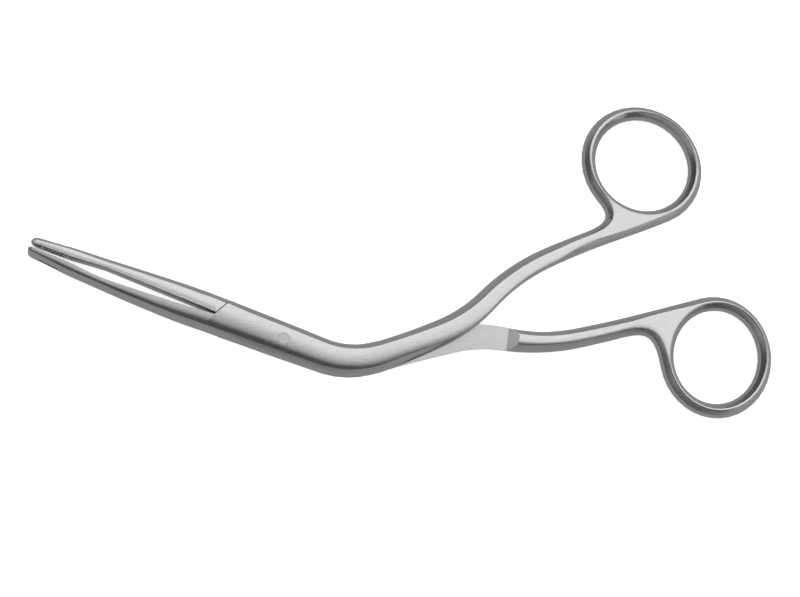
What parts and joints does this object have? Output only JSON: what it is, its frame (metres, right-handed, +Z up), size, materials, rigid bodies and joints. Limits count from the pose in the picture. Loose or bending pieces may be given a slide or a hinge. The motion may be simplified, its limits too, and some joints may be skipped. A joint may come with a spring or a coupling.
{
  "type": "magill forceps",
  "caption": "Angled introducing forceps: two steel halves crossing in a screwed lap joint, with serrated, windowed jaws and two finger rings set well off the jaw line.",
  "frame": {"origin": "middle of the plan box of the closed forceps, on the surface it lies on", "axes": "+X runs from the jaw tips to the finger ring, +Z points up out of the flat side, +Y towards the thumb ring"},
  "size_m": [0.1974, 0.0871, 0.0062],
  "materials": {
    "satin_steel": "satin",
    "turned_steel": "fine turned"
  },
  "bodies": {
    "finger_half": {"finger_half": "satin_steel"},
    "thumb_half": {"thumb_half": "satin_steel", "pivot_screw": "turned_steel"}
  },
  "joints": [
    {"name": "jaw_pivot", "type": "hinge", "parent": "finger_half", "child": "thumb_half", "pos_m": [-0.0335, -0.02198, 0.0031], "axis": [0, 0, 1], "range_deg": [-0.3, 50]}
  ]
}
